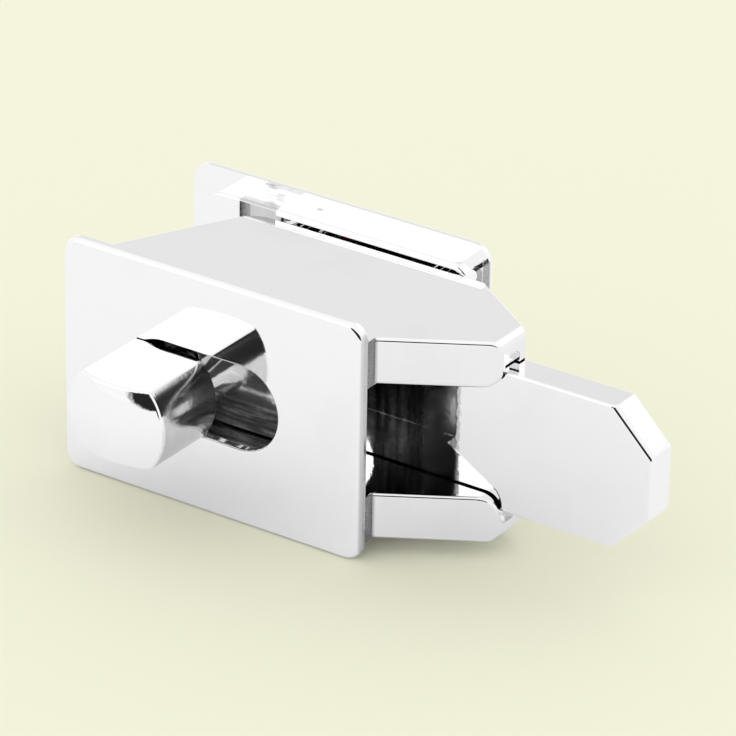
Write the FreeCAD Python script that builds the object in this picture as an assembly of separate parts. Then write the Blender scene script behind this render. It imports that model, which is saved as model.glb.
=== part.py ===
import FreeCAD, Part
import math
import os

# Indicator slide latch for a partition door about one inch thick.
# The origin is the centre of the front plate's back face, which seats on the door.
# X runs along the throw of the bolt, Y goes through the door from the room side
# to the outer side, and Z is up. All sizes are in millimetres.

# Front and rear plates
plate_width = 44.45
plate_height = 31.75
plate_thickness = 1.2
plate_corner_radius = 2.4
plate_edge_radius = 0.7

# Housing body behind the front plate
body_height = 26.9
body_depth = 22.7
body_left_inset = 1.1
side_wall_angle = 26.5
side_wall_thickness = 1.5
rear_corner_radius = 6.0
rear_right = 23.6
rear_slope_length = 2.4
rear_slope_drop = 0.3
rear_wall_end = -5.0
throat_height = 14.7
shoulder_depth = 1.5
nose_length = 13.0
nose_start = 9.3
nose_width = 5.2
ear_inner_radius = 2.4
ear_outer_radius = 1.5
body_edge_radius = 0.45
relief_depth = 0.7
relief_rear = 13.1
relief_height = 1.7
relief_radius = 0.9

# Bolt blade with the raised boss on its front, and its groove
blade_start = 9.95
blade_thickness = 4.5
blade_height = 18.8
blade_left = -11.0
blade_tip = 55.95
blade_chamfer = 5.3
blade_edge_radius = 0.35
blade_chamfer_edge_radius = 0.7
boss_front = 5.6
boss_left = -12.0
boss_right = 12.5
boss_half_height = 7.1
boss_corner_radius = 1.2
boss_sink = 1.5
groove_clearance = 0.2
groove_front_gap = 0.4

# Travel of the bolt: two detent places with a little free travel past each
throw = 9.5
over_travel = 0.95
end_clearance = 0.3

# Slot in the front plate and the round stem that runs in it
slot_centre = -1.3
stem_radius = 4.45
stem_height = -0.5
slot_clearance = 1.15
slot_edge_radius = 0.3

# Knob head, a barrel-sided block with a domed front
knob_top = 5.0
knob_bottom = 5.6
knob_top_half_width = 5.05
knob_bottom_half_width = 5.1
knob_waist_half_width = 7.15
knob_waist_height = -0.4
knob_reach = 12.9
knob_dome_radius = 15.0
knob_plate_gap = 0.2
knob_top_edge_radius = 0.5
knob_bottom_edge_radius = 1.4
knob_front_edge_radius = 0.42

# Screws that hold the knob and the carrier to the blade
knob_screw_spacing = 5.0
knob_screw_radius = 1.25
knob_screw_head_radius = 2.1
knob_screw_head_height = 1.6
knob_screw_head_edge = 0.7
knob_screw_length = 16.0
thread_clearance = 0.02
hole_clearance = 0.15

# Carrier behind the blade
carrier_margin = 0.25
carrier_base_left = -9.2
carrier_right = 5.0
carrier_base_thickness = 3.0
carrier_block_left = -3.6
carrier_block_bottom = -5.2
carrier_rise = 0.8
carrier_edge_radius = 0.4

# Spring detent through the carrier
detent_x = 1.5
ball_radius = 1.9
ball_bore_clearance = 0.1
detent_wall = 1.0
ball_rise = 0.35
track_clearance = 0.1
pocket_depth = 0.25
spring_wire_radius = 0.25
spring_mean_radius = 1.35
spring_turns = 6

# Rear cover: plate, tray and screw bosses
tray_left = 17.9
tray_right = 21.3
tray_height = 28.4
tray_wall = 0.8
tray_corner_radius = 2.2
tray_edge_radius = 0.4
tray_gap = 0.25
tray_depth = 3.35
feature_centre = 3.5
cover_screw_centre = 6.0
cover_screw_spacing_x = 21.0
cover_screw_spacing_z = 20.0
screw_boss_radius = 2.5
pad_left = -12.8
pad_right = -7.3
pad_bottom = 11.2
pad_depth = 2.2
pad_skin = 0.25
cover_screw_radius = 1.7
cover_screw_head_radius = 3.1
cover_screw_head_height = 1.55
cover_screw_blade_gap = 2.05
recess_width = 0.8
recess_depth = 0.9
recess_reach = 0.6
screw_point_chamfer = 0.3

# Indicator panels and the window over them
panel_thickness = 0.7
panel_bottom = 1.3
panel_height = 5.8
bracket_thickness = 0.95
bracket_gap = 0.25
bracket_clearance = 0.1
bracket_rim = 0.2
rivet_radius = 0.8
rivet_length = 2.6
rivet_spacing = 5.0
rivet_height = 4.2
window_width = 8.2
window_bottom = 1.8
window_height = 4.8
window_corner_radius = 0.8
lens_gap = 0.05
lens_flange = 0.9
lens_flange_thickness = 0.9
lens_sink = 0.3
retainer_thickness = 0.4
retainer_half_width = 7.1
retainer_post_offset = 6.1
retainer_post_radius = 0.6
post_proud = 0.15

# Emergency turn with its crank
turn_height = -8.3
turn_disc_radius = 4.4
turn_disc_height = 1.4
turn_disc_edge_radius = 0.7
turn_shaft_radius = 2.4
turn_running_clearance = 0.05
turn_boss_radius = 4.0
turn_boss_depth = 0.8
coin_slot_width = 1.6
coin_slot_depth = 1.0
square_width = 3.2
crank_radius = 7.4
crank_thickness = 1.0
crank_half_width = 2.6
crank_tip_radius = 1.7
crank_pin_radius = 1.2
crank_pin_edge_radius = 0.36
crank_pin_length = 2.3
crank_pin_clearance = 0.35
crank_rivet_radius = 0.95
washer_rim = 0.3
washer_running_gap = 0.05
washer_running_clearance = 0.1
crank_screw_radius = 1.0
crank_screw_head_radius = 2.1
crank_screw_head_height = 0.9
crank_screw_edge_radius = 0.36
crank_screw_length = 3.0

# Places worked out from the driving values
door_grip = body_depth + tray_gap + tray_depth
plate_front = -plate_thickness
carrier_end = body_depth + carrier_rise
rear_plate_inner = door_grip
rear_plate_outer = door_grip + plate_thickness
half_throat = throat_height / 2
half_body = body_height / 2
blade_end = blade_start + blade_thickness
cover_screw_end = blade_end + cover_screw_blade_gap
groove_half_height = blade_height / 2 + groove_clearance
half_travel = throw / 2 + over_travel
stem_x = slot_centre - throw / 2
slot_radius = stem_radius + slot_clearance
tray_front = body_depth + tray_gap
bracket_start = body_depth + bracket_gap
bracket_end = bracket_start + bracket_thickness
detent_y = (blade_end + bracket_start) / 2
panel_end = bracket_end + panel_thickness
lens_flange_start = rear_plate_inner - lens_flange_thickness
crank_start = bracket_end
crank_end = crank_start + crank_thickness
turn_boss_front = rear_plate_inner - turn_boss_depth
carrier_slot_x = feature_centre - throw / 2
crank_swing = math.degrees(math.asin(half_travel / crank_radius))
crank_rate = crank_swing / half_travel
crank_rest_angle = -crank_rate * throw / 2
FAR = 100.0
PAST = 1.0


def point(plane, u, v, w):
    """A point from two outline coordinates and the distance along the extrusion."""
    if plane == "xz":
        return FreeCAD.Vector(u, w, v)
    if plane == "yz":
        return FreeCAD.Vector(w, u, v)
    return FreeCAD.Vector(u, v, w)


def rounded_wire(plane, corners, level):
    """Closed outline through (u, v, radius) corners, each rounded by its own radius."""
    edges = []
    last_end = None
    first_start = None
    count = len(corners)
    for index in range(count):
        u, v, radius = corners[index]
        here = FreeCAD.Vector(u, v, 0)
        before = FreeCAD.Vector(*corners[index - 1][:2], 0) - here
        after = FreeCAD.Vector(*corners[(index + 1) % count][:2], 0) - here
        half_angle = before.getAngle(after) / 2
        before.normalize()
        after.normalize()
        start = here
        end = here
        if radius > 0:
            reach = radius / math.tan(half_angle)
            start = here + before * reach
            end = here + after * reach
            inward = (before + after).normalize()
            middle = here + inward * (radius / math.sin(half_angle) - radius)
            arc = [point(plane, p.x, p.y, level) for p in (start, middle, end)]
        start_3d = point(plane, start.x, start.y, level)
        if last_end is not None and last_end.distanceToPoint(start_3d) > 1e-7:
            edges.append(Part.LineSegment(last_end, start_3d).toShape())
        if first_start is None:
            first_start = start_3d
        if radius > 0:
            edges.append(Part.Arc(*arc).toShape())
        last_end = point(plane, end.x, end.y, level)
    edges.append(Part.LineSegment(last_end, first_start).toShape())
    return Part.Wire(edges)


def prism(plane, corners, start, end):
    """Solid between two levels on the axis that is square to the plane."""
    face = Part.Face(rounded_wire(plane, corners, start))
    return face.extrude(point(plane, 0, 0, end - start))


def rectangle(u_low, u_high, v_low, v_high, radius=0.0):
    """Corners of a rectangle for prism, all with one radius."""
    return [(u_low, v_low, radius), (u_high, v_low, radius),
            (u_high, v_high, radius), (u_low, v_high, radius)]


def cylinder_y(radius, x, z, start, end):
    """Cylinder along Y from start to end."""
    return Part.makeCylinder(radius, end - start, FreeCAD.Vector(x, start, z), FreeCAD.Vector(0, 1, 0))


def cone_y(radius_start, radius_end, x, z, start, end):
    """Cone along Y with its radius at each end."""
    base = FreeCAD.Vector(x, start, z)
    return Part.makeCone(radius_start, radius_end, end - start, base, FreeCAD.Vector(0, 1, 0))


def stadium_y(half_length, radius, x, z, start, end):
    """Solid along Y with a long round-ended section."""
    ends = [cylinder_y(radius, x + side * half_length, z, start, end) for side in (-1, 1)]
    middle = prism("xz", rectangle(x - half_length, x + half_length, z - radius, z + radius), start, end)
    return middle.fuse(ends).removeSplitter()


def edges_where(shape, test):
    """Edges whose middle point passes the test."""
    chosen = []
    for edge in shape.Edges:
        middle = edge.valueAt((edge.FirstParameter + edge.LastParameter) / 2)
        if test(middle):
            chosen.append(edge)
    return chosen


def edges_on_y(shape, level):
    """Edges that lie wholly in the plane y = level."""
    box_hits = []
    for edge in shape.Edges:
        if abs(edge.BoundBox.YMin - level) < 1e-4 and abs(edge.BoundBox.YMax - level) < 1e-4:
            box_hits.append(edge)
    return box_hits


def plate_blank(front, back, rounded_face):
    """One of the two plates, with softly rounded edges on its shown face."""
    half_width = plate_width / 2
    half_height = plate_height / 2
    corners = rectangle(-half_width, half_width, -half_height, half_height, plate_corner_radius)
    blank = prism("xz", corners, front, back)
    return blank.makeFillet(plate_edge_radius, edges_on_y(blank, rounded_face))


def cover_screw_places():
    """Centres of the four cover screws, as (x, z)."""
    return [(cover_screw_centre + side * cover_screw_spacing_x / 2, level * cover_screw_spacing_z / 2)
            for side in (-1, 1) for level in (-1, 1)]


def knob_screw_places():
    """Centres of the two knob screws, as (x, z)."""
    return [(stem_x, stem_height + level * knob_screw_spacing / 2) for level in (-1, 1)]


def body_outline():
    """Outline of the housing body from above, for the slabs over and under the bolt."""
    left = -plate_width / 2 + body_left_inset
    right = plate_width / 2
    rear_left = left + body_depth * math.tan(math.radians(side_wall_angle))
    tip = right + nose_length
    nose_end = nose_start + nose_width
    return [(left, 0, 0), (right, 0, 0), (right, shoulder_depth, 0), (tip, nose_start, 0),
            (tip, nose_end, 0), (rear_right, body_depth, 0), (rear_left, body_depth, rear_corner_radius)]


def cavity_outline():
    """Outline from above of the hollow between the slabs, open at the rear and the nose."""
    lean = math.radians(side_wall_angle)
    left = -plate_width / 2 + body_left_inset + side_wall_thickness / math.cos(lean)
    inner_rear = body_depth - side_wall_thickness
    rear_left = left + inner_rear * math.tan(lean)
    inner_radius = rear_corner_radius - side_wall_thickness
    return [(left, 0, 0), (FAR, 0, 0), (FAR, body_depth + PAST, 0), (rear_wall_end, body_depth + PAST, 0),
            (rear_wall_end, inner_rear, 0), (rear_left, inner_rear, inner_radius)]


def ear_profile(level):
    """Outline from the front of one slab, with both nose corners rounded."""
    tip = plate_width / 2 + nose_length
    inner = level * half_throat
    outer = level * half_body
    return [(-plate_width, inner, 0), (tip, inner, ear_inner_radius), (tip, outer, ear_outer_radius),
            (-plate_width, outer, 0)]


def rear_profile(level):
    """Outline from the side of one slab, whose outer face slopes in a little at the rear."""
    inner = level * half_throat
    outer = level * half_body
    rear_outer = level * (half_body - rear_slope_drop)
    return [(-PAST, inner, 0), (body_depth, inner, 0), (body_depth, rear_outer, body_edge_radius),
            (body_depth - rear_slope_length, outer, 0), (-PAST, outer, 0)]


def ear(level):
    """Upper or lower slab with its nose, edges softened."""
    low = min(level * half_throat, level * half_body)
    high = max(level * half_throat, level * half_body)
    slab = prism("xy", body_outline(), low, high)
    slab = slab.common(prism("xz", ear_profile(level), -PAST, FAR))
    right = plate_width / 2

    def shown(middle):
        on_outer_face = abs(middle.z - level * half_body) < 1e-3 and middle.y > shoulder_depth
        on_nose = middle.x > right + 0.1 and middle.y > shoulder_depth + 0.1
        return on_outer_face or on_nose

    slab = slab.makeFillet(body_edge_radius, edges_where(slab, shown))
    return slab.common(prism("yz", rear_profile(level), -FAR, FAR))


def detent_track(level):
    """Shallow groove for one detent ball, with a deeper pocket at each detent place."""
    height = level * ball_centre_height()
    reach = math.sqrt(ball_radius ** 2 - (ball_radius - ball_rise) ** 2) + end_clearance
    groove = track_run(detent_x - over_travel - reach, detent_x + throw + over_travel + reach, height)
    pockets = [track_run(x - reach, x + reach, height + level * pocket_depth)
               for x in (detent_x, detent_x + throw)]
    return groove.fuse(pockets)


def track_run(left, right, height):
    """Cylinder along X that clears a detent ball between two places."""
    base = FreeCAD.Vector(left, detent_y, height)
    return Part.makeCylinder(ball_radius + track_clearance, right - left, base, FreeCAD.Vector(1, 0, 0))


def make_front_housing():
    """Front plate and hollow body in one casting, with slot, bolt groove, shallow relief round the bolt at the
    nose's end, and screw holes."""
    plate = plate_blank(plate_front, 0, plate_front)
    wall = prism("xy", body_outline(), -half_throat, half_throat)
    wall = wall.cut(prism("xy", cavity_outline(), -FAR, FAR))
    shape = plate.fuse([ear(1), ear(-1), wall]).removeSplitter()
    groove_left = blade_left - over_travel - end_clearance
    groove_sides = rectangle(groove_left, FAR, blade_start - groove_front_gap, blade_end + groove_clearance)
    shape = shape.cut(prism("xy", groove_sides, -groove_half_height, groove_half_height))
    relief_top = groove_half_height + relief_height
    relief = rectangle(blade_start, relief_rear, -relief_top, relief_top, relief_radius)
    shape = shape.cut(prism("yz", relief, plate_width / 2 + nose_length - relief_depth, FAR))
    slot = stadium_y(half_travel, slot_radius, slot_centre, 0, plate_front - PAST, 0)
    shape = shape.cut(slot)
    shape = shape.makeFillet(slot_edge_radius, [edge for edge in edges_on_y(shape, plate_front)
                                                if edge.BoundBox.ZMax < slot_radius + 0.01
                                                and edge.BoundBox.ZMin > -slot_radius - 0.01])
    thread_end = cover_screw_end - end_clearance
    for x, z in cover_screw_places():
        shape = shape.cut(cylinder_y(cover_screw_radius + thread_clearance, x, z, thread_end, FAR))
    for level in (-1, 1):
        shape = shape.cut(detent_track(level))
    return shape


def make_slide_bolt():
    """Flat blade with clipped tip corners, the boss that the knob's stem seats on, and two screw holes."""
    half = blade_height / 2
    shoulder = blade_tip - blade_chamfer
    tip_half = half - blade_chamfer
    corners = [(blade_left, -half, 0), (shoulder, -half, 0), (blade_tip, -tip_half, 0),
               (blade_tip, tip_half, 0), (shoulder, half, 0), (blade_left, half, 0)]
    blade = prism("xz", corners, blade_start, blade_end)
    clipped = [edge for edge in edges_on_y(blade, blade_start)
               if shoulder + PAST < edge.CenterOfMass.x < blade_tip - PAST]
    others = [edge for edge in blade.Edges if not any(edge.isSame(one) for one in clipped)]
    blade = blade.makeFillet(blade_chamfer_edge_radius, clipped)

    def still_sharp(middle):
        return any(edge.distToShape(Part.Vertex(middle))[0] < 1e-4 for edge in others)

    blade = blade.makeFillet(blade_edge_radius, edges_where(blade, still_sharp))
    boss_corners = rectangle(boss_left, boss_right, -boss_half_height, boss_half_height, boss_corner_radius)
    boss = prism("xz", boss_corners, boss_front, blade_start + boss_sink)
    boss = boss.makeFillet(blade_edge_radius, edges_on_y(boss, boss_front))
    bolt = blade.fuse(boss).removeSplitter()
    for x, z in knob_screw_places():
        hole_radius = knob_screw_radius + hole_clearance
        bolt = bolt.cut(cylinder_y(hole_radius, x, z, boss_front - PAST, blade_end + PAST))
    return bolt


def knob_section():
    """Face of the knob head's outline: flat top and bottom, bulging sides."""
    back = plate_front - knob_plate_gap
    top_left = FreeCAD.Vector(stem_x - knob_top_half_width, back, knob_top)
    top_right = FreeCAD.Vector(stem_x + knob_top_half_width, back, knob_top)
    waist_left = FreeCAD.Vector(stem_x - knob_waist_half_width, back, knob_waist_height)
    waist_right = FreeCAD.Vector(stem_x + knob_waist_half_width, back, knob_waist_height)
    bottom_left = FreeCAD.Vector(stem_x - knob_bottom_half_width, back, -knob_bottom)
    bottom_right = FreeCAD.Vector(stem_x + knob_bottom_half_width, back, -knob_bottom)
    edges = [Part.LineSegment(top_left, top_right).toShape(),
             Part.Arc(top_right, waist_right, bottom_right).toShape(),
             Part.LineSegment(bottom_right, bottom_left).toShape(),
             Part.Arc(bottom_left, waist_left, top_left).toShape()]
    return Part.Face(Part.Wire(edges))


def make_thumb_knob():
    """Thumb knob: barrel-sided head with a domed front, and the round stem behind it."""
    back = plate_front - knob_plate_gap
    apex = plate_front - knob_reach
    centre = FreeCAD.Vector(stem_x, apex + knob_dome_radius, (knob_top - knob_bottom) / 2)
    head = knob_section().extrude(FreeCAD.Vector(0, apex - back - PAST, 0))
    head = head.makeFillet(knob_top_edge_radius, knob_long_edges(head, 1))
    head = head.makeFillet(knob_bottom_edge_radius, knob_long_edges(head, -1))
    head = head.common(Part.makeSphere(knob_dome_radius, centre))

    def on_dome(middle):
        return abs(middle.distanceToPoint(centre) - knob_dome_radius) < 1e-3 and middle.y < back - PAST

    head = head.makeFillet(knob_front_edge_radius, edges_where(head, on_dome))
    stem = cylinder_y(stem_radius, stem_x, stem_height, back, boss_front)
    knob = head.fuse(stem).removeSplitter()
    head_front = blade_end + carrier_base_thickness - knob_screw_head_height
    thread_start = head_front - knob_screw_length - end_clearance
    for x, z in knob_screw_places():
        knob = knob.cut(cylinder_y(knob_screw_radius + thread_clearance, x, z, thread_start, boss_front))
    return knob


def knob_long_edges(head, level):
    """The two sharp edges that run from front to back along the head's top or bottom."""
    height = knob_top if level > 0 else -knob_bottom
    return edges_where(head, lambda middle: abs(middle.z - height) < 1e-3 and abs(middle.x - stem_x) > PAST
                       and plate_front - knob_reach < middle.y < plate_front - knob_plate_gap)


def round_head_screw(radius, head_radius, head_height, head_edge, length, x, z, head_back):
    """Pan-head screw along Y whose head ends at head_back and whose point is nearer the room."""
    head_front = head_back - head_height
    head = cylinder_y(head_radius, x, z, head_front, head_back)
    head = head.makeFillet(head_edge, edges_on_y(head, head_back))
    shank = cylinder_y(radius, x, z, head_front - length, head_front)
    shank = shank.makeChamfer(screw_point_chamfer * radius, edges_on_y(shank, head_front - length))
    return head.fuse(shank).removeSplitter().cut(cross_recess(x, z, head_radius, head_back))


def cross_recess(x, z, head_radius, level):
    """Cross-shaped driver recess in a screw head."""
    arm = recess_reach * head_radius
    half = recess_width / 2
    bottom = level - recess_depth * head_radius / cover_screw_head_radius
    across = prism("xz", rectangle(x - arm, x + arm, z - half, z + half), bottom, level + PAST)
    upright = prism("xz", rectangle(x - half, x + half, z - arm, z + arm), bottom, level + PAST)
    return across.fuse(upright)


def make_knob_screws():
    """Two screws through carrier and blade into the knob's stem."""
    head_back = blade_end + carrier_base_thickness
    return Part.makeCompound([
        round_head_screw(knob_screw_radius, knob_screw_head_radius, knob_screw_head_height,
                         knob_screw_head_edge, knob_screw_length, x, z, head_back)
        for x, z in knob_screw_places()])


def panel_limits():
    """Left, middle and right edges of the two indicator panels."""
    middle = feature_centre - throw / 2
    return middle - throw, middle, middle + throw


def make_indicator_carrier():
    """Moulded block on the blade's back: holds detent, crank slot and panel bracket."""
    half = half_throat - carrier_margin
    base = prism("xz", rectangle(carrier_base_left, carrier_right, -half, half, carrier_edge_radius),
                 blade_end, blade_end + carrier_base_thickness)
    block_corners = rectangle(carrier_block_left, carrier_right, carrier_block_bottom, half,
                              carrier_edge_radius)
    block = prism("xz", block_corners, blade_end, carrier_end)
    seat_bottom = panel_bottom - bracket_rim - bracket_clearance
    block = block.cut(prism("xz", rectangle(-FAR, FAR, seat_bottom, FAR), bracket_start, FAR))
    reach = ball_radius + detent_wall
    detent_web = prism("xz", rectangle(detent_x - reach, detent_x + reach, -half, half),
                       blade_end, detent_y + reach)
    shape = base.fuse([block, detent_web]).removeSplitter()
    bore_radius = ball_radius + ball_bore_clearance
    bore_base = FreeCAD.Vector(detent_x, detent_y, -FAR / 2)
    shape = shape.cut(Part.makeCylinder(bore_radius, FAR, bore_base))
    base_back = blade_end + carrier_base_thickness
    for x, z in knob_screw_places():
        shape = shape.cut(cylinder_y(knob_screw_head_radius + hole_clearance, x, z,
                                     base_back - knob_screw_head_height, base_back + PAST))
        shape = shape.cut(cylinder_y(knob_screw_radius + hole_clearance, x, z, blade_end - PAST, base_back))
    return shape.cut([crank_slot()] + rivet_shanks(thread_clearance))


def rivet_shanks(grow):
    """Cylinders for the two bracket rivets, made larger by grow."""
    middle = (carrier_block_left + carrier_right) / 2
    return [cylinder_y(rivet_radius + grow, middle + side * rivet_spacing / 2, rivet_height,
                       bracket_end - rivet_length - grow, bracket_end) for side in (-1, 1)]


def make_panel_bracket():
    """Sheet bracket on the carrier's back that the two indicator panels are bonded to."""
    left, _, right = panel_limits()
    corners = rectangle(left - bracket_rim, right + bracket_rim, panel_bottom - bracket_rim,
                        panel_bottom + panel_height + bracket_rim / 2, carrier_edge_radius)
    return prism("xz", corners, bracket_start, bracket_end).cut(rivet_shanks(thread_clearance))


def make_bracket_rivets():
    """Two flush rivets that hold the bracket to the carrier."""
    return Part.makeCompound(rivet_shanks(0))


def crank_slot():
    """Upright slot in the carrier that the crank pin works in."""
    reach = crank_pin_radius + crank_pin_clearance
    low = turn_height + crank_radius * math.cos(math.radians(crank_swing)) - reach
    high = turn_height + crank_radius + reach
    start = crank_start - crank_pin_length - end_clearance
    sides = rectangle(carrier_slot_x - reach, carrier_slot_x + reach, low, high)
    return prism("xz", sides, start, carrier_end + PAST)


def ball_centre_height():
    """Height of the upper detent ball's centre."""
    return half_throat + ball_rise - ball_radius


def make_detent_ball(level):
    """Steel ball in one end of the carrier's cross bore."""
    return Part.makeSphere(ball_radius, FreeCAD.Vector(detent_x, detent_y, level * ball_centre_height()))


def make_detent_spring():
    """Coil spring between the two detent balls, wound on a steady radius."""
    cup = math.sqrt(ball_radius ** 2 - (spring_mean_radius - spring_wire_radius) ** 2)
    half_length = ball_centre_height() - cup - spring_wire_radius
    length = 2 * half_length
    pitch = length / spring_turns
    path = Part.makeHelix(pitch, length, spring_mean_radius)
    start = FreeCAD.Vector(spring_mean_radius, 0, 0)
    direction = FreeCAD.Vector(0, 2 * math.pi * spring_mean_radius, pitch)
    ring = Part.Wire(Part.makeCircle(spring_wire_radius, start, direction))
    coil = Part.Wire(path).makePipeShell([ring], True, True)
    coil.translate(FreeCAD.Vector(detent_x, detent_y, -half_length))
    return coil


def make_panel(side):
    """One coloured indicator panel on the bracket: side 0 is the vacant one, 1 the occupied one."""
    left, middle, right = panel_limits()
    low, high = ((middle, right), (left, middle))[side]
    corners = rectangle(low, high, panel_bottom, panel_bottom + panel_height)
    return prism("xz", corners, bracket_end, panel_end)


def window_outline(grow):
    """Corners of the indicator window, made larger all round by grow."""
    half = window_width / 2 + grow
    return rectangle(feature_centre - half, feature_centre + half, window_bottom - grow,
                     window_bottom + window_height + grow, window_corner_radius)


def make_rear_cover():
    """Rear plate with its tray, which is notched over two pads, screw bosses, window, turn bearing, posts."""
    plate = plate_blank(rear_plate_inner, rear_plate_outer, rear_plate_outer)
    half = tray_height / 2
    tray = prism("xz", rectangle(-tray_left, tray_right, -half, half, tray_corner_radius),
                 tray_front, rear_plate_inner)
    tray = tray.makeFillet(tray_edge_radius, edges_on_y(tray, tray_front))
    inside = half - tray_wall
    inner_radius = tray_corner_radius - tray_wall
    tray = tray.cut(prism("xz", rectangle(pad_left, tray_right - tray_wall, -inside, inside, inner_radius),
                          tray_front - PAST, rear_plate_inner))
    notch = half - pad_skin
    tray = tray.cut(prism("xz", rectangle(pad_left, pad_right, -notch, notch), tray_front - PAST,
                          rear_plate_inner - pad_depth))
    solids = [tray]
    for x, z in cover_screw_places():
        solids.append(cylinder_y(screw_boss_radius, x, z, body_depth, rear_plate_inner))
    for level in (-1, 1):
        low = min(level * pad_bottom, level * notch)
        solids.append(prism("xz", rectangle(pad_left, pad_right, low, low + notch - pad_bottom),
                            rear_plate_inner - pad_depth, rear_plate_inner))
    solids.append(cylinder_y(turn_boss_radius, feature_centre, turn_height, turn_boss_front, rear_plate_inner))
    post_z = window_bottom + window_height / 2
    post_front = lens_flange_start - retainer_thickness - post_proud
    for side in (-1, 1):
        post_x = feature_centre + side * retainer_post_offset
        solids.append(cylinder_y(retainer_post_radius, post_x, post_z, post_front, rear_plate_inner))
    shape = plate.fuse(solids).removeSplitter()
    shape = shape.cut(prism("xz", window_outline(0), rear_plate_inner - PAST, FAR))
    for x, z in cover_screw_places():
        shape = shape.cut(cylinder_y(cover_screw_radius + hole_clearance, x, z, 0, FAR))
        sink_front = rear_plate_outer - cover_screw_head_height
        shape = shape.cut(cone_y(cover_screw_radius + hole_clearance, cover_screw_head_radius + hole_clearance,
                                 x, z, sink_front, rear_plate_outer))
    bearing = turn_shaft_radius + turn_running_clearance
    return shape.cut(cylinder_y(bearing, feature_centre, turn_height, 0, FAR))


def make_cover_screws():
    """Four countersunk screws through the rear cover into the housing."""
    screws = []
    for x, z in cover_screw_places():
        head_front = rear_plate_outer - cover_screw_head_height
        head = cone_y(cover_screw_radius, cover_screw_head_radius, x, z, head_front, rear_plate_outer)
        shank = cylinder_y(cover_screw_radius, x, z, cover_screw_end, head_front)
        shank = shank.makeChamfer(screw_point_chamfer * cover_screw_radius, edges_on_y(shank, cover_screw_end))
        screw = head.fuse(shank).removeSplitter()
        screws.append(screw.cut(cross_recess(x, z, cover_screw_head_radius, rear_plate_outer)))
    return Part.makeCompound(screws)


def make_window_lens():
    """Clear lens: a pad that fills the window and a flange inside the plate."""
    pad = prism("xz", window_outline(-lens_gap), rear_plate_inner, rear_plate_outer - lens_sink)
    flange = prism("xz", window_outline(lens_flange), lens_flange_start, rear_plate_inner)
    return pad.fuse(flange).removeSplitter()


def make_lens_retainer():
    """Sheet steel frame that holds the lens flange against the plate."""
    low = window_bottom - lens_flange
    high = window_bottom + window_height + lens_flange
    start = lens_flange_start - retainer_thickness
    frame = prism("xz", rectangle(feature_centre - retainer_half_width, feature_centre + retainer_half_width,
                                  low, high, window_corner_radius), start, lens_flange_start)
    frame = frame.cut(prism("xz", window_outline(0), start - PAST, FAR))
    for side in (-1, 1):
        post_x = feature_centre + side * retainer_post_offset
        frame = frame.cut(cylinder_y(retainer_post_radius + thread_clearance, post_x, (low + high) / 2,
                                     start - PAST, FAR))
    return frame


def make_emergency_turn():
    """Coin-slotted disc outside the rear plate, with a shaft that ends in a square."""
    disc = cylinder_y(turn_disc_radius, feature_centre, turn_height, rear_plate_outer,
                      rear_plate_outer + turn_disc_height)
    disc = disc.makeFillet(turn_disc_edge_radius, edges_on_y(disc, rear_plate_outer + turn_disc_height))
    shaft = cylinder_y(turn_shaft_radius, feature_centre, turn_height, crank_end, rear_plate_outer)
    half = square_width / 2
    square = prism("xz", rectangle(-half, half, -half, half), crank_start, crank_end)
    square.rotate(FreeCAD.Vector(0, 0, 0), FreeCAD.Vector(0, 1, 0), crank_rest_angle)
    square.translate(FreeCAD.Vector(feature_centre, 0, turn_height))
    turn = disc.fuse([shaft, square]).removeSplitter()
    half_slot = coin_slot_width / 2
    slot = prism("xz", rectangle(-half_slot, half_slot, -FAR, FAR),
                 rear_plate_outer + turn_disc_height - coin_slot_depth, FAR)
    slot.rotate(FreeCAD.Vector(0, 0, 0), FreeCAD.Vector(0, 1, 0), crank_rest_angle)
    slot.translate(FreeCAD.Vector(feature_centre, 0, turn_height))
    turn = turn.cut(slot)
    return turn.cut(cylinder_y(crank_screw_radius + thread_clearance, feature_centre, turn_height,
                               crank_start - PAST, crank_start + crank_screw_length + end_clearance))


def crank_pin_place():
    """Centre of the crank pin at rest, as (x, z)."""
    angle = math.radians(crank_rest_angle)
    return feature_centre + crank_radius * math.sin(angle), turn_height + crank_radius * math.cos(angle)


def make_crank_arm():
    """Tapered sheet steel arm from the turn's square up to the crank pin."""
    hub = cylinder_y(crank_half_width, 0, 0, crank_start, crank_end)
    tip = cylinder_y(crank_tip_radius, 0, crank_radius, crank_start, crank_end)
    sides = [(-crank_half_width, 0, 0), (crank_half_width, 0, 0),
             (crank_tip_radius, crank_radius, 0), (-crank_tip_radius, crank_radius, 0)]
    arm = prism("xz", sides, crank_start, crank_end).fuse([hub, tip]).removeSplitter()
    half = square_width / 2 + thread_clearance
    arm = arm.cut(prism("xz", rectangle(-half, half, -half, half), crank_start - PAST, crank_end + PAST))
    arm = arm.cut(cylinder_y(crank_rivet_radius + thread_clearance, 0, crank_radius, crank_start - PAST,
                             crank_end + PAST))
    arm.rotate(FreeCAD.Vector(0, 0, 0), FreeCAD.Vector(0, 1, 0), crank_rest_angle)
    arm.translate(FreeCAD.Vector(feature_centre, 0, turn_height))
    return arm


def make_crank_pin():
    """Stepped pin riveted through the crank arm's tip."""
    x, z = crank_pin_place()
    pin = cylinder_y(crank_pin_radius, x, z, crank_start - crank_pin_length, crank_start)
    pin = pin.makeFillet(crank_pin_edge_radius, edges_on_y(pin, crank_start - crank_pin_length))
    return pin.fuse(cylinder_y(crank_rivet_radius, x, z, crank_start, crank_end)).removeSplitter()


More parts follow.
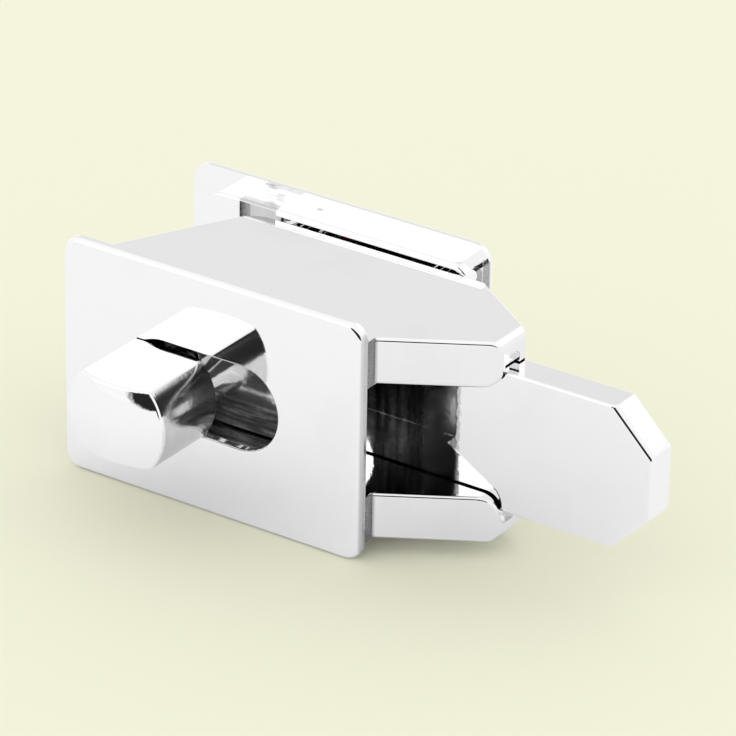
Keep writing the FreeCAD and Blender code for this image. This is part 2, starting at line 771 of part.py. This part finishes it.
def make_crank_screw():
    """Small screw that holds the crank arm on the turn's square."""
    head_front = crank_start - crank_screw_head_height
    head = cylinder_y(crank_screw_head_radius, feature_centre, turn_height, head_front, crank_start)
    head = head.makeFillet(crank_screw_edge_radius, edges_on_y(head, head_front))
    shank = cylinder_y(crank_screw_radius, feature_centre, turn_height, crank_start,
                       crank_start + crank_screw_length)
    return head.fuse(shank).removeSplitter()


def make_turn_washer():
    """Spring washer between the crank arm and the turn's bearing boss."""
    end = turn_boss_front - washer_running_gap
    outer = cylinder_y(turn_boss_radius - washer_rim, feature_centre, turn_height, crank_end, end)
    return outer.cut(cylinder_y(turn_shaft_radius + washer_running_clearance, feature_centre, turn_height,
                                crank_end, end))


def save(shape, node):
    """Write one named piece and say how large it is."""
    box = shape.BoundBox
    print(node, "solids", len(shape.Solids), "valid", shape.isValid(), "volume", round(shape.Volume, 2),
          "x", round(box.XMin, 2), round(box.XMax, 2), "y", round(box.YMin, 2), round(box.YMax, 2),
          "z", round(box.ZMin, 2), round(box.ZMax, 2))
    shape.exportStep("parts/" + node + ".step")


os.makedirs("parts", exist_ok=True)
save(make_front_housing(), "front_housing")
save(make_slide_bolt(), "slide_bolt")
save(make_thumb_knob(), "thumb_knob")
save(make_knob_screws(), "knob_screws")
save(make_indicator_carrier(), "indicator_carrier")
save(make_panel_bracket(), "panel_bracket")
save(make_bracket_rivets(), "bracket_rivets")
save(make_detent_ball(1), "upper_detent_ball")
save(make_detent_ball(-1), "lower_detent_ball")
save(make_detent_spring(), "detent_spring")
save(make_panel(0), "vacant_panel")
save(make_panel(1), "occupied_panel")
save(make_rear_cover(), "rear_cover")
save(make_cover_screws(), "cover_screws")
save(make_window_lens(), "window_lens")
save(make_lens_retainer(), "lens_retainer")
save(make_emergency_turn(), "emergency_turn")
save(make_crank_arm(), "crank_arm")
save(make_crank_pin(), "crank_pin")
save(make_crank_screw(), "crank_screw")
save(make_turn_washer(), "turn_washer")
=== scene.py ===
import math

import bpy
import numpy as np
from mathutils import Matrix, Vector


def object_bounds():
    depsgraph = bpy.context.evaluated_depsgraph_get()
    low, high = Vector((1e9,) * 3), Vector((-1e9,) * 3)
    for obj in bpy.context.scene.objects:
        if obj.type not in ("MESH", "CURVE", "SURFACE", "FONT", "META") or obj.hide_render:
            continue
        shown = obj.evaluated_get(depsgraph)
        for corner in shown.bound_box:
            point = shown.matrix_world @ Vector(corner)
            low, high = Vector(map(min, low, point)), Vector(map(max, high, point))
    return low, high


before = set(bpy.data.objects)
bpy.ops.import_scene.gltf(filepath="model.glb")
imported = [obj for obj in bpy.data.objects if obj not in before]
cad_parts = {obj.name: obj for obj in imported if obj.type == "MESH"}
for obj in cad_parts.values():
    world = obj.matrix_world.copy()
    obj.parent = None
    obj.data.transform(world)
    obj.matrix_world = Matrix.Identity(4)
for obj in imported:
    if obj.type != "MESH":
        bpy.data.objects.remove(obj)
cad_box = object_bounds()

# View of the photograph
camera_place = (0.317876, -0.442297, 0.276233)
camera_azimuth = math.radians(33.757)
camera_elevation = math.radians(26.570)
camera_roll = math.radians(1.017)
camera_lens = 245.444
sensor_width = 36.0

# Room
floor_level = cad_box[0][2]
floor_radius = 1.6
floor_corners = 96
floor_tone = 0.97
paper_colour = (0.913, 0.913, 0.723)
tent_colour = (1.0, 1.0, 1.0)

# Cards that only the latch's bright faces see: azimuth of the middle from the front toward +X,
# elevation, half angle across, half angle up, tilt (degrees), brightness and how ragged the rim is
cards = {
    "camera_side_card": (21.0, 12.0, 36.0, 20.0, -14.0, 0.02, 0.5),
    "backdrop_card": (213.8, 30.0, 36.0, 17.0, 0.0, 0.83, 0.1),
    "front_left_card": (-36.0, 30.0, 22.0, 19.0, 0.0, 1.35, 0.1),
    "rear_right_card": (149.0, 38.0, 18.0, 16.0, 0.0, 1.2, 0.1),
}
card_distance = 0.3
card_columns = 16
card_rows = 8
card_cloud_size = 0.03
card_rim = (0.05, 0.3)

# Marks in the finishes. Size, length, width and height are in metres. Cover is the pair of values of the
# mark's pattern, from 0 to 1, between which it comes in. Strength is how much it hides what is below,
# shade multiplies the colour below it, rough is what it adds to the roughness and polish what it takes off

# Edges, found by a bevel
edge_reach = 0.0004
edge_samples = 6
edge_cover = (0.01, 0.25)

# Bright plating
wave_size = 0.0045
peel_size = 0.0005
pit_size = 0.0011
pit_cover = (0.70, 0.82)
smudge_size = 0.012
smudge_cover = (0.52, 0.72)
smudge_strength = 0.35
smudge_shade = 0.93
smudge_rough = 0.03
scratch_length = 0.006
scratch_width = 0.00012
scratch_turn = (0.3, 0.2, 0.1)
scratch_cover = (0.70, 0.74)
scratch_rough = 0.04
worn_edge_strength = 0.25
worn_edge_shade = (0.97, 0.95, 0.90)
worn_edge_rough = 0.04

# Rougher plating that carries painted shade and painted reflection streaks, and the lines of a painted
# shaded band
shaded_grain_size = 0.0006
shaded_grain_height = 3.0e-5
shaded_grain_rough = 0.1
shaded_rough = 0.26
reflection_streak_size = 0.0022
reflection_streak_cover = (0.35, 0.75)
shade_band_line_size = 0.0003
shade_band_stretch = (0.12, 1.0, 1.0)
shade_band_cover = (0.48, 0.62)

# Bare steel
drawn_line_size = 0.004
drawn_line_height = 6.0e-6
drawn_line_rough = 0.16
patch_size = 0.003
patch_cover = (0.45, 0.75)
patch_strength = 0.5
patch_shade = 0.72
patch_rough = 0.06
rubbed_edge_strength = 0.5
rubbed_edge_tone = 0.78
rubbed_edge_polish = 0.08

# Moulded plastic
mould_grain_size = 0.00025
mould_grain_height = 1.2e-5
mould_grain_rough = 0.2
mould_rough = 0.48
cloud_size = 0.004
cloud_strength = 0.5
cloud_shade = 1.5
pale_edge_strength = 0.35
pale_edge_shade = 3.0

# Painted panels
paint_peel_size = 0.0009
paint_peel_height = 4.0e-6
paint_peel_rough = 0.06
paint_rough = 0.22
paint_coat = 0.4
dust_size = 0.0022
dust_cover = (0.60, 0.78)
dust_strength = 0.18
dust_tone = 0.5
dust_rough = 0.3
chipped_edge_strength = 0.5
chipped_edge_shade = 0.5
chipped_edge_lift = 0.2

# Clear lens
lens_rough = 0.02
lens_index = 1.49
lens_haze_size = 0.003
lens_haze_rough = 0.03
wipe_mark_size = 0.004
wipe_mark_height = 2.0e-6
wipe_mark_stretch = (20.0, 1.0, 1.0)
wipe_mark_turn = (0.0, 0.4, 0.0)
wipe_mark_cover = (0.64, 0.72)
wipe_mark_rough = 0.08

# Places of painted light and shade on the housing, in metres: a pair is the two values between which a
# place starts or ends
plate_back = (-0.0001, 0.0)
side_wall_angle = math.radians(26.5)
side_wall_inside = (-0.0206, -0.0202)
hollow_top = (0.00725, 0.00735)
slot_light_end = (0.004, 0.010)
open_side_light_start = (0.0165, 0.0185)
# A painted lit spot on the hollow's floor
lit_floor_spot_centre = (0.0138, 0.0050, -0.00735)
lit_floor_spot_rim = (0.0012, 0.0036)
corner_start = (0.0219, 0.0222)
corner_depth = (0.0014, 0.0018)
plate_side_start = (0.0218, 0.0221)
nose_start = (0.0222, 0.0224)
nose_top = (0.0128, 0.0131)

# Places of painted shade and painted reflections on the rear cover
strip_start = (0.0213, 0.0214)
strip_front = (0.0262, 0.0263)
strip_back = (0.0264, 0.0267)
strip_top = (0.0138, 0.0142)
notch_start = (-0.0130, -0.0128)
notch_end = (-0.0073, -0.0072)
notch_back = (0.0243, 0.0244)
notch_floor = (0.0108, 0.0110)
# The plate's inner face, which carries a painted shaded band and a painted star-shaped reflection
inner_face_back = (0.0264, 0.0265)
shade_band_centre = (-0.0097, 0.0263, 0.0148)
shade_band_rim = (0.0004, 0.0032)
star_reflection_centre = (-0.0029, 0.0263, 0.0138)
star_reflection_rim = (0.0001, 0.0010)

# Places of painted shade on the knob, whose domed front is part of a sphere, and of painted light and
# shade on the bolt
knob_side_start = (-0.0009, -0.0004)
dome_centre = (-0.00605, 0.0009, -0.0003)
dome_rim = (0.0144, 0.0147)
blade_front = (0.0096, 0.0098)
boss_shade_top = (-0.0036, -0.0028)

# How much each place takes of the rougher plating with painted shade and painted reflection streaks, from
# 0 for full polish to 1 for all of it
hollow_by_slot_shading = 0.5
hollow_by_open_side_shading = 0.35
lit_floor_spot_shading = 0.5
corner_shading = 0.75
plate_side_shading = 0.35
nose_dull = 0.08
strip_shading = 0.5
notch_shading = 0.35
shade_band_shading = 0.35
star_reflection_shading = 0.4
knob_side_shading = 0.3
boss_below_shading = 0.85
boss_above_shading = 0.25


class Wire:
    """A socket of a finish. Arithmetic on it adds Math nodes."""

    def __init__(self, finish, socket):
        self.finish = finish
        self.socket = socket

    def __add__(self, other):
        return self.finish.maths("ADD", self, other)

    def __radd__(self, other):
        return self.finish.maths("ADD", other, self)

    def __sub__(self, other):
        return self.finish.maths("SUBTRACT", self, other)

    def __rsub__(self, other):
        return self.finish.maths("SUBTRACT", other, self)

    def __mul__(self, other):
        return self.finish.maths("MULTIPLY", self, other)

    def __rmul__(self, other):
        return self.finish.maths("MULTIPLY", other, self)

    def __abs__(self):
        return self.finish.maths("ABSOLUTE", self)

    def past(self, bound):
        """0 up to the bound's first value, 1 from its second, and a smooth rise from one to the other."""
        settings = {"interpolation_type": "SMOOTHSTEP"}
        sockets = {"Value": self, "From Min": bound[0], "From Max": bound[1]}
        return self.finish.node("ShaderNodeMapRange", settings, sockets)

    def short_of(self, bound):
        """1 up to the bound's first value, 0 from its second."""
        return 1.0 - self.past(bound)


class Finish:
    """A node tree being built. One method adds any node and sets or links its sockets."""

    # Places of the Mix node's two colours among its inputs, and of its colour among its outputs
    first_colour = 6
    second_colour = 7
    mixed_colour = 2

    def __init__(self, tree):
        self.tree = tree
        self.tree.nodes.clear()

    def node(self, kind, settings=None, sockets=None, out=0):
        """Add a node, change its settings, then link or set its sockets; gives one of its outputs."""
        made = self.tree.nodes.new(kind)
        for key, value in (settings or {}).items():
            setattr(made, key, value)
        for key, value in (sockets or {}).items():
            if isinstance(value, Wire):
                self.tree.links.new(value.socket, made.inputs[key])
            else:
                made.inputs[key].default_value = value
        return Wire(self, made.outputs[out]) if made.outputs else None

    def maths(self, operation, *values):
        """Result of one operation on wires and numbers."""
        return self.node("ShaderNodeMath", {"operation": operation}, dict(enumerate(values)))

    def most(self, first, *others):
        """The largest of several wires."""
        for other in others:
            first = self.maths("MAXIMUM", first, other)
        return first

    def spot(self):
        """Object coordinates."""
        return self.node("ShaderNodeTexCoord", out="Object")

    def axes(self):
        """The three object coordinates, each on its own."""
        spot = self.spot()
        return [self.node("ShaderNodeSeparateXYZ", None, {"Vector": spot}, out=axis) for axis in "XYZ"]

    def near(self, centre, rim):
        """1 near a point, falling to 0 over the two distances of the rim."""
        settings = {"operation": "DISTANCE"}
        distance = self.node("ShaderNodeVectorMath", settings, {0: self.spot(), 1: centre}, out="Value")
        return distance.short_of(rim)

    def place(self, stretch=(1.0, 1.0, 1.0), turn=(0.0, 0.0, 0.0)):
        """Object coordinates, turned and stretched."""
        sockets = {"Vector": self.spot(), "Rotation": turn, "Scale": stretch}
        return self.node("ShaderNodeMapping", None, sockets)

    def noise(self, size, detail=2.0, spot=None, rough=0.5):
        """Cloudy value from 0 to 1 whose patches are about one size across, with detail finer layers that
        are as strong as rough says."""
        sockets = {"Vector": spot or self.place(), "Scale": 1.0 / size, "Detail": detail,
                   "Roughness": rough}
        return self.node("ShaderNodeTexNoise", None, sockets)

    def blend(self, amount, first, second):
        """Colour between two others."""
        sockets = {"Factor": amount, self.first_colour: first, self.second_colour: second}
        return self.node("ShaderNodeMix", {"data_type": "RGBA"}, sockets, out=self.mixed_colour)

    def edges(self):
        """1 along sharp outer and inner edges, 0 on flat and gently curved faces."""
        soft = self.node("ShaderNodeBevel", {"samples": edge_samples}, {"Radius": edge_reach})
        true = self.node("ShaderNodeNewGeometry", out="Normal")
        settings = {"operation": "DOT_PRODUCT"}
        facing = self.node("ShaderNodeVectorMath", settings, {0: soft, 1: true}, out="Value")
        return (1.0 - facing).past(edge_cover)

    def bump(self, height, distance, under=None):
        """Normal bent by a height map whose full range is one distance."""
        sockets = {"Height": height, "Distance": distance, "Strength": 1.0}
        if under:
            sockets["Normal"] = under
        return self.node("ShaderNodeBump", None, sockets)


def opaque(colour, gain=1.0, lift=0.0):
    """Colour without transparency: each part times the gain, plus the lift, at most 1."""
    return (*[min(1.0, part * gain + lift) for part in colour], 1.0)


def grey(tone):
    """Neutral colour."""
    return (tone, tone, tone, 1.0)


def finished(name, build):
    """Material whose nodes are made by build, which returns the shader."""
    material = bpy.data.materials.new(name)
    material.use_nodes = True
    finish = Finish(material.node_tree)
    shader = build(finish)
    finish.node("ShaderNodeOutputMaterial", None, {"Surface": shader})
    return material


def plated(name, bright=0.95, wave=0.6e-6, pits=1.0e-6, peel=0.2e-6, haze=0.03, painted_shading=None,
           streak_stretch=(2.5, 2.5, 0.25), shading_tones=(0.02, 0.30), shaded_metal=1.0):
    """Polished bright plating over a cast part: faint waves, fine pits, orange peel, smudges and hairline
    scratches. wave, pits and peel are heights in metres, and haze is the roughness without marks.
    A given mask function paints shade: where it gives 1 the colour turns to dark and light painted
    reflection streaks between the two given tones, stretched along the axis on which the given stretch is
    small, and the plating there is rougher, with a grain, and as metallic as the given metal value says."""
    def build(finish):
        smudge = finish.noise(smudge_size, detail=3.0).past(smudge_cover)
        long_spot = finish.place((1.0, 1.0, scratch_length / scratch_width), scratch_turn)
        scratch = finish.noise(scratch_length, detail=1.0, spot=long_spot).past(scratch_cover)
        pit = finish.noise(pit_size, detail=1.0).past(pit_cover)
        edge = finish.edges()
        tone = finish.blend(smudge * smudge_strength, grey(bright), grey(bright * smudge_shade))
        tone = finish.blend(edge * worn_edge_strength, tone, opaque(worn_edge_shade, bright))
        rough = haze + smudge * smudge_rough + scratch * scratch_rough + edge * worn_edge_rough
        normal = finish.bump(finish.noise(wave_size, detail=1.0), wave)
        normal = finish.bump(finish.noise(peel_size), peel, under=normal)
        normal = finish.bump(1.0 - pit, pits, under=normal)
        if painted_shading:
            # Painted light and shade: the mask turns the colour to streaky dark and light tones that stand
            # in for shade and reflections, on rougher plating
            shading = painted_shading(finish)
            grain = finish.noise(shaded_grain_size, detail=3.0)
            reflection_streak = finish.noise(reflection_streak_size, detail=3.0, spot=finish.place(streak_stretch)).past(reflection_streak_cover)
            dark, light = shading_tones
            tone = finish.blend(shading, tone, finish.blend(reflection_streak * grain, grey(dark), grey(light)))
            rough = rough + shading * (shaded_rough + grain * shaded_grain_rough)
            normal = finish.bump(grain * shading, shaded_grain_height, under=normal)
        sockets = {"Base Color": tone, "Roughness": rough, "Normal": normal}
        sockets["Metallic"] = 1.0 - shading * (1.0 - shaded_metal) if painted_shading else 1.0
        return finish.node("ShaderNodeBsdfPrincipled", None, sockets)
    return finished(name, build)


def housing_painted_shading(finish):
    """Painted shade in the hollow behind the front plate, less near the slot and by the body's open side,
    where light comes in. A painted lit spot on the hollow's floor, part painted shade in the corner behind
    the plate's right edge and on the plate's narrow side, and a little darker, rougher plating on the
    nose. The painted places all get rougher plating too."""
    across, depth, height = finish.axes()
    level = abs(height)
    behind = depth.past(plate_back)
    inward = (across - depth * math.tan(side_wall_angle)).past(side_wall_inside)
    hollow = behind * inward * level.short_of(hollow_top)
    hollow = hollow * (hollow_by_slot_shading + across.past(slot_light_end) * (1.0 - hollow_by_slot_shading))
    hollow = hollow * (1.0 - across.past(open_side_light_start) * (1.0 - hollow_by_open_side_shading))
    lit_floor_spot = finish.near(lit_floor_spot_centre, lit_floor_spot_rim) * lit_floor_spot_shading
    corner = behind * depth.short_of(corner_depth) * across.past(corner_start) * corner_shading
    nose = behind * across.past(nose_start) * level.short_of(nose_top) * nose_dull
    side = (1.0 - behind) * across.past(plate_side_start) * plate_side_shading
    return finish.most(hollow, lit_floor_spot, corner, nose, side)


def cover_painted_shading(finish):
    """Painted dark reflection on the rear plate's narrow strip beside the tray and painted shade in the
    tray's notches over the pads. On the plate's inner face above the tray, a painted shaded band of lines
    and a painted star-shaped reflection. All with rougher plating."""
    across, depth, height = finish.axes()
    level = abs(height)
    strip = across.past(strip_start) * depth.past(strip_front) * depth.short_of(strip_back)
    strip = strip * height.short_of(strip_top) * strip_shading
    notch = across.past(notch_start) * across.short_of(notch_end)
    notch = notch * depth.short_of(notch_back) * level.past(notch_floor) * notch_shading
    lines = finish.noise(shade_band_line_size, detail=3.0, spot=finish.place(shade_band_stretch)).past(shade_band_cover)
    inner_face = depth.short_of(inner_face_back)
    band = finish.near(shade_band_centre, shade_band_rim) * inner_face * lines * shade_band_shading
    star = finish.near(star_reflection_centre, star_reflection_rim) * inner_face * star_reflection_shading
    return finish.most(strip, notch, band, star)


def knob_painted_shade(finish):
    """Part painted shade, with rougher plating, on the knob's bulging right side, inside the sphere of its
    domed front.
    """
    across = finish.axes()[0]
    return across.past(knob_side_start) * finish.near(dome_centre, dome_rim) * knob_side_shading


def bolt_painted_shading(finish):
    """Painted light and shade, with rougher, part-metallic plating, on the bolt's boss behind the slot,
    most on its lower part, none on the blade.
    """
    depth, height = finish.axes()[1:]
    shaded = boss_below_shading - height.past(boss_shade_top) * (boss_below_shading - boss_above_shading)
    return depth.short_of(blade_front) * shaded


def bare_steel(name, colour, rough=0.28, grain=(1.0, 1.0, 60.0)):
    """Bare or zinc-plated steel with a drawn grain and slightly darker patches."""
    def build(finish):
        lines = finish.noise(drawn_line_size, detail=3.0, spot=finish.place(grain))
        patch = finish.noise(patch_size).past(patch_cover)
        edge = finish.edges()
        tone = finish.blend(patch * patch_strength, opaque(colour), opaque(colour, patch_shade))
        tone = finish.blend(edge * rubbed_edge_strength, tone, grey(rubbed_edge_tone))
        spread = rough + lines * drawn_line_rough - edge * rubbed_edge_polish + patch * patch_rough
        normal = finish.bump(lines, drawn_line_height)
        sockets = {"Base Color": tone, "Metallic": 1.0, "Roughness": spread, "Normal": normal}
        return finish.node("ShaderNodeBsdfPrincipled", None, sockets)
    return finished(name, build)


def moulded_plastic(name, colour):
    """Matte moulded plastic with a fine eroded texture and lighter rubbed edges."""
    def build(finish):
        grain = finish.noise(mould_grain_size)
        cloud = finish.noise(cloud_size, detail=3.0)
        edge = finish.edges()
        tone = finish.blend(cloud * cloud_strength, opaque(colour), opaque(colour, cloud_shade))
        tone = finish.blend(edge * pale_edge_strength, tone, opaque(colour, pale_edge_shade))
        rough = mould_rough + grain * mould_grain_rough
        normal = finish.bump(grain, mould_grain_height)
        sockets = {"Base Color": tone, "Roughness": rough, "Normal": normal}
        return finish.node("ShaderNodeBsdfPrincipled", None, sockets)
    return finished(name, build)


def painted_panel(name, colour):
    """Gloss-coated indicator panel with faint orange peel, dust and chipped edges."""
    def build(finish):
        peel = finish.noise(paint_peel_size)
        dust = finish.noise(dust_size, detail=4.0).past(dust_cover)
        edge = finish.edges()
        tone = finish.blend(dust * dust_strength, opaque(colour), grey(dust_tone))
        chipped = opaque(colour, chipped_edge_shade, chipped_edge_lift)
        tone = finish.blend(edge * chipped_edge_strength, tone, chipped)
        rough = paint_rough + dust * dust_rough + peel * paint_peel_rough
        normal = finish.bump(peel, paint_peel_height)
        sockets = {"Base Color": tone, "Roughness": rough, "Normal": normal, "Coat Weight": paint_coat}
        return finish.node("ShaderNodeBsdfPrincipled", None, sockets)
    return finished(name, build)


def clear_lens(name, colour):
    """Clear moulded lens with faint haze and fine wiping scratches."""
    def build(finish):
        long_spot = finish.place(wipe_mark_stretch, wipe_mark_turn)
        wiped = finish.noise(wipe_mark_size, spot=long_spot).past(wipe_mark_cover)
        haze = finish.noise(lens_haze_size)
        rough = lens_rough + wiped * wipe_mark_rough + haze * lens_haze_rough
        normal = finish.bump(wiped, wipe_mark_height)
        sockets = {"Base Color": opaque(colour), "Roughness": rough, "Normal": normal,
                   "Transmission Weight": 1.0, "IOR": lens_index}
        return finish.node("ShaderNodeBsdfPrincipled", None, sockets)
    return finished(name, build)


def dress(material, *nodes):
    """Give nodes of the frame their finish."""
    for node in nodes:
        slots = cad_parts[node].data.materials
        slots.clear()
        slots.append(material)


def dress_all():
    """Every node of the latch gets the finish of the real piece."""
    dress(plated("housing_plating", painted_shading=housing_painted_shading), "front_housing")
    dress(plated("cover_plating", painted_shading=cover_painted_shading), "rear_cover")
    # On the bolt's boss the painted light and shade runs from near black to white tones, on part-metallic
    # plating
    dress(plated("bolt_plating", bright=0.93, pits=1.6e-6, peel=4.0e-6, painted_shading=bolt_painted_shading,
                 streak_stretch=(0.5, 4.0, 4.0), shading_tones=(0.02, 1.0), shaded_metal=0.45), "slide_bolt")
    dress(plated("knob_plating", wave=0.3e-6, pits=0.6e-6, painted_shading=knob_painted_shade), "thumb_knob")
    dress(plated("screw_plating", haze=0.08), "cover_screws")
    dress(plated("turn_plating", haze=0.05), "emergency_turn")
    dress(bare_steel("zinc_screw", (0.66, 0.67, 0.70)), "knob_screws", "crank_screw")
    dress(bare_steel("sheet_steel", (0.55, 0.55, 0.56), 0.32, (1.0, 60.0, 60.0)),
          "panel_bracket", "lens_retainer", "crank_arm")
    dress(bare_steel("rivet_steel", (0.60, 0.60, 0.61), 0.24), "bracket_rivets", "crank_pin")
    dress(bare_steel("spring_steel", (0.36, 0.37, 0.40), 0.22, (30.0, 30.0, 1.0)),
          "detent_spring", "turn_washer")
    dress(bare_steel("ball_steel", (0.72, 0.73, 0.74), 0.08, (1.0, 1.0, 1.0)),
          "upper_detent_ball", "lower_detent_ball")
    dress(moulded_plastic("carrier_plastic", (0.045, 0.045, 0.05)), "indicator_carrier")
    dress(painted_panel("green_paint", (0.03, 0.30, 0.08)), "vacant_panel")
    dress(painted_panel("red_paint", (0.52, 0.02, 0.02)), "occupied_panel")
    dress(clear_lens("lens_clear", (0.95, 0.98, 0.97)), "window_lens")


def mesh_object(name, points, faces):
    """Object from arrays of points and faces."""
    mesh = bpy.data.meshes.new(name)
    mesh.from_pydata(points.tolist(), [], faces.tolist())
    made = bpy.data.objects.new(name, mesh)
    bpy.context.scene.collection.objects.link(made)
    return made


def seen_by_camera(finish):
    """1 for what the camera sees straight on, 0 for what lights or reflects."""
    return finish.node("ShaderNodeLightPath", out="Is Camera Ray")


def make_floor():
    """Plain pale floor disc under the latch: points at equal angles on one radius."""
    angles = np.linspace(0.0, 2.0 * math.pi, floor_corners + 1)[:-1]
    ring = np.stack([floor_radius * np.cos(angles), floor_radius * np.sin(angles),
                     np.full_like(angles, floor_level)], axis=1)
    floor = mesh_object("floor", ring, np.arange(floor_corners).reshape(1, -1))

    def build(finish):
        colour = finish.blend(seen_by_camera(finish), grey(floor_tone), opaque(paper_colour))
        return finish.node("ShaderNodeBsdfDiffuse", None, {"Color": colour})

    floor.data.materials.append(finished("floor_paper", build))


def make_room_light():
    """Even white tent all round; the camera sees it in the floor's colour."""
    world = bpy.data.worlds.new("tent")
    world.use_nodes = True
    finish = Finish(world.node_tree)
    colour = finish.blend(seen_by_camera(finish), opaque(tent_colour), opaque(paper_colour))
    sky = finish.node("ShaderNodeBackground", None, {"Color": colour})
    finish.node("ShaderNodeOutputWorld", None, {"Surface": sky})
    bpy.context.scene.world = world


def toward(azimuths, elevations):
    """Unit directions (sin a cos e, -cos a cos e, sin e) for azimuths a, from the front toward +X, and
    elevations e, in degrees."""
    turns = np.radians(azimuths)
    lifts = np.radians(elevations)
    return np.stack([np.sin(turns) * np.cos(lifts), -np.cos(turns) * np.cos(lifts), np.sin(lifts)], axis=1)


def grid_faces(rows, columns):
    """Four-cornered faces between points that lie row by row, one more than the faces each way: a face's
    first corner is point row (columns + 1) + column, and the others are beside it and in the next row."""
    row, column = np.divmod(np.arange(rows * columns), columns)
    corner = row * (columns + 1) + column
    return np.stack([corner, corner + 1, corner + columns + 2, corner + columns + 1], axis=1)


def card_finish(tone, ragged):
    """Glow that fades out toward the card's rim, along a more or less ragged line."""
    def build(finish):
        fade = finish.node("ShaderNodeAttribute", {"attribute_name": "fade"}, out="Fac")
        cloud = finish.noise(card_cloud_size, detail=5.0, rough=0.6)
        cover = (fade + (cloud - 0.5) * ragged).past(card_rim)
        clear = finish.node("ShaderNodeBsdfTransparent")
        glow = finish.node("ShaderNodeEmission", None, {"Color": grey(tone)})
        return finish.node("ShaderNodeMixShader", None, {0: cover, 1: clear, 2: glow})
    return build


def make_cards():
    """Cards that the bright faces mirror, seen by glossy rays only. A point (u, v) of a card, each from
    -1 to 1, lies toward azimuth + across u cos(tilt) - up v sin(tilt) and
    elevation + across u sin(tilt) + up v cos(tilt), and fades out as (1 - u u)(1 - v v)."""
    columns = np.linspace(-1.0, 1.0, card_columns + 1)
    rows = np.linspace(-1.0, 1.0, card_rows + 1)
    v, u = [grid.ravel() for grid in np.meshgrid(rows, columns, indexing="ij")]
    faces = grid_faces(card_rows, card_columns)
    for name, (azimuth, elevation, across, up, tilt, tone, ragged) in cards.items():
        lean = math.radians(tilt)
        azimuths = azimuth + across * u * math.cos(lean) - up * v * math.sin(lean)
        elevations = elevation + across * u * math.sin(lean) + up * v * math.cos(lean)
        card = mesh_object(name, card_distance * toward(azimuths, elevations), faces)
        fade = card.data.attributes.new("fade", "FLOAT", "POINT")
        fade.data.foreach_set("value", (1 - u * u) * (1 - v * v))
        card.data.materials.append(finished(name + "_tone", card_finish(tone, ragged)))
        card.visible_camera = False
        card.visible_diffuse = False
        card.visible_shadow = False
        card.visible_transmission = False


def make_camera():
    """Camera at the photograph's place: looks along azimuth and elevation, turned by a small roll."""
    flat = math.cos(camera_elevation)
    forward = np.array([-math.sin(camera_azimuth) * flat, math.cos(camera_azimuth) * flat,
                        -math.sin(camera_elevation)])
    level = np.array([math.cos(camera_azimuth), math.sin(camera_azimuth), 0.0])
    upright = np.cross(level, forward)
    right = math.cos(camera_roll) * level + math.sin(camera_roll) * upright
    up = np.cross(right, forward)
    turned = Matrix(np.stack([right, up, -forward], axis=1).tolist()).to_4x4()
    data = bpy.data.cameras.new("camera")
    data.lens = camera_lens
    data.sensor_width = sensor_width
    camera = bpy.data.objects.new("camera", data)
    camera.matrix_world = Matrix.Translation(camera_place) @ turned
    bpy.context.scene.collection.objects.link(camera)
    bpy.context.scene.camera = camera


dress_all()
make_floor()
make_room_light()
make_cards()
make_camera()
bpy.context.scene.view_settings.view_transform = "Standard"
